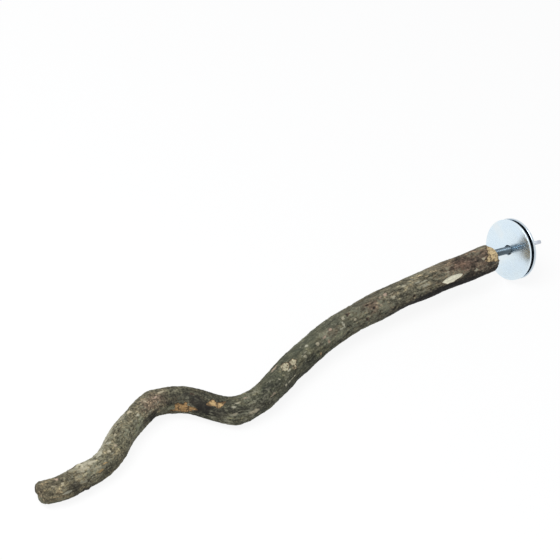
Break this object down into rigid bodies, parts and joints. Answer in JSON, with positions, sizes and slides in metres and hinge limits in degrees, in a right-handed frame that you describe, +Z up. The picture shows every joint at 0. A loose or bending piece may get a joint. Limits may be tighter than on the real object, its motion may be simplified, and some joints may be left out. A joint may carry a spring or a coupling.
{
  "type": "bird perch",
  "caption": "Crooked natural branch perch with bark, held to cage wires by a hanger bolt, large washers and a wing nut.",
  "frame": {"origin": "middle of the inner washer's cage side, on the bolt's axis", "axes": "+X along the bolt, away from the branch and out through the cage wall; +Z up"},
  "size_m": [0.4204, 0.0984, 0.04],
  "materials": {
    "wood": "raw, sawn and weathered",
    "bark": "rough natural bark",
    "bolt_steel": "zinc-plated thread",
    "zinc_plate": "bright zinc plating",
    "nut_zinc": "zinc-plated casting"
  },
  "bodies": {
    "perch": {"branch_wood": "wood", "bark": "bark", "hanger_bolt": "bolt_steel"},
    "inner_washer": {"inner_washer": "zinc_plate"},
    "outer_washer": {"outer_washer": "zinc_plate"},
    "wing_nut": {"wing_nut": "nut_zinc"}
  },
  "joints": [
    {"name": "inner_washer_slide", "type": "slide", "parent": "perch", "child": "inner_washer", "axis": [1, 0, 0], "range_m": [-0.0165, 0]},
    {"name": "outer_washer_slide", "type": "slide", "parent": "perch", "child": "outer_washer", "axis": [1, 0, 0], "range_m": [-0.00221, 0.01901]},
    {"name": "wing_nut_spin", "type": "hinge", "parent": "outer_washer", "child": "wing_nut", "pos_m": [0.004, 0, 0], "axis": [1, 0, 0], "range_deg": [-990, 8550]}
  ],
  "couplings": [
    {"joint": "outer_washer_slide", "follows": "wing_nut_spin", "m_per_rad": 0.00012732}
  ]
}
